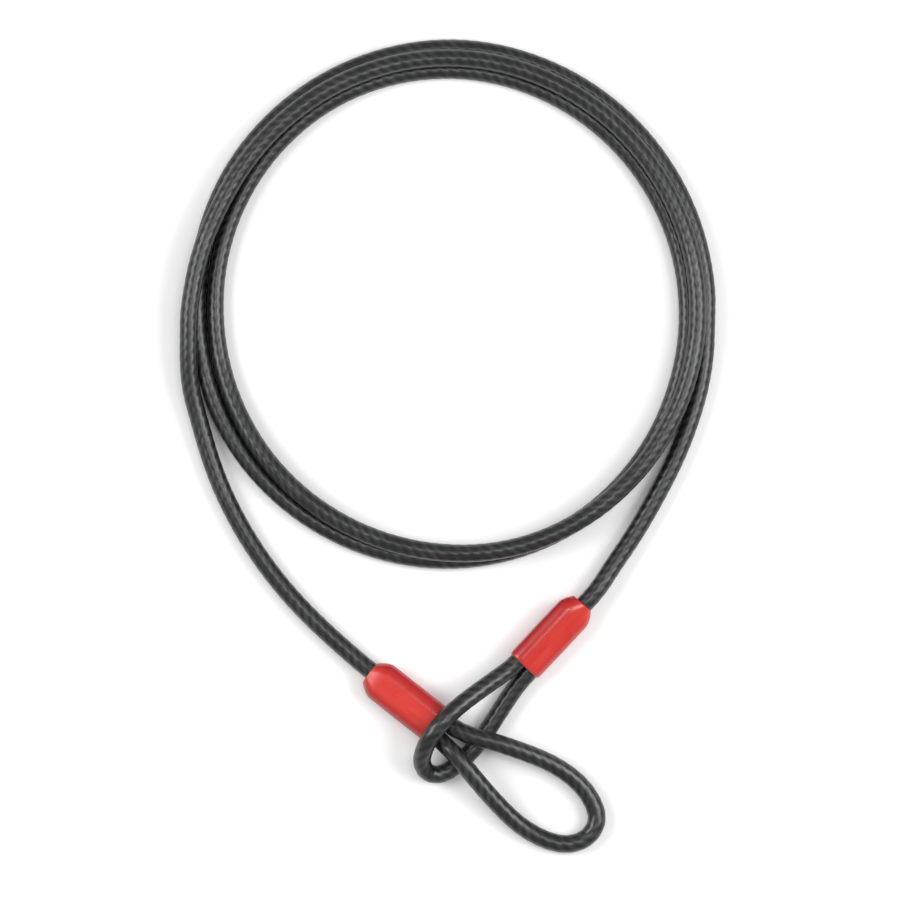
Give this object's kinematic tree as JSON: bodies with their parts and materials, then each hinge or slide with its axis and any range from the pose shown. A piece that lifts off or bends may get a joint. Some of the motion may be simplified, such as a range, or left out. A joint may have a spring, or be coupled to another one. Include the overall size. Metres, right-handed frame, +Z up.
{
  "type": "loop security cable",
  "caption": "Plastic-jacketed steel wire rope in a loose coil, each end doubled back into an eye under a crimped, moulded cover, with one eye threaded through the other.",
  "frame": {"origin": "middle of the bottom of the whole object's bounding box, on the surface that it lies on", "axes": "+Z up, away from the surface that it lies on; +Y from the two linked eyes to the coil; +X to the right with the eyes nearest the viewer"},
  "size_m": [0.2387, 0.3619, 0.0246],
  "materials": {
    "cable_jacket": "semi-gloss extruded PVC, near black, with the rope's lay showing faintly through it",
    "cover_red": "glossy moulded plastic, red, rounded ends, no lettering",
    "ferrule_metal": "pressed aluminium, satin, with press marks",
    "rope_steel": "galvanised stranded steel wire rope"
  },
  "bodies": {
    "coil": {"coil": "cable_jacket"},
    "ends": {"left_tail_jacket": "cable_jacket", "left_tail_rope": "rope_steel", "left_cover": "cover_red", "left_ferrule": "ferrule_metal", "left_standing_leg_king_strand": "rope_steel", "left_standing_leg_outer_strands": "rope_steel", "left_dead_end_king_strand": "rope_steel", "left_dead_end_outer_strands": "rope_steel", "right_tail_jacket": "cable_jacket", "right_tail_rope": "rope_steel", "right_cover": "cover_red", "right_ferrule": "ferrule_metal", "right_standing_leg_king_strand": "rope_steel", "right_standing_leg_outer_strands": "rope_steel", "right_dead_end_king_strand": "rope_steel", "right_dead_end_outer_strands": "rope_steel", "left_eye_root_jackets": "cable_jacket", "left_eye_root_ropes": "rope_steel", "right_eye_jacket": "cable_jacket", "right_eye_rope": "rope_steel"},
    "left_eye": {"left_eye_jacket": "cable_jacket", "left_eye_rope": "rope_steel"}
  },
  "joints": [
    {"name": "ends_lift", "type": "hinge", "parent": "coil", "child": "ends", "pos_m": [-0.1083, 0.00325, 0.0094], "axis": [-0.9964, 0.0844, 0], "range_deg": [0, 30], "stiffness_Nm_per_rad": 0.5},
    {"name": "left_eye_lift", "type": "hinge", "parent": "ends", "child": "left_eye", "pos_m": [-0.00517, -0.12465, 0.01409], "axis": [-0.5978, -0.7896, -0.1384], "range_deg": [0, 25], "stiffness_Nm_per_rad": 0.3}
  ]
}
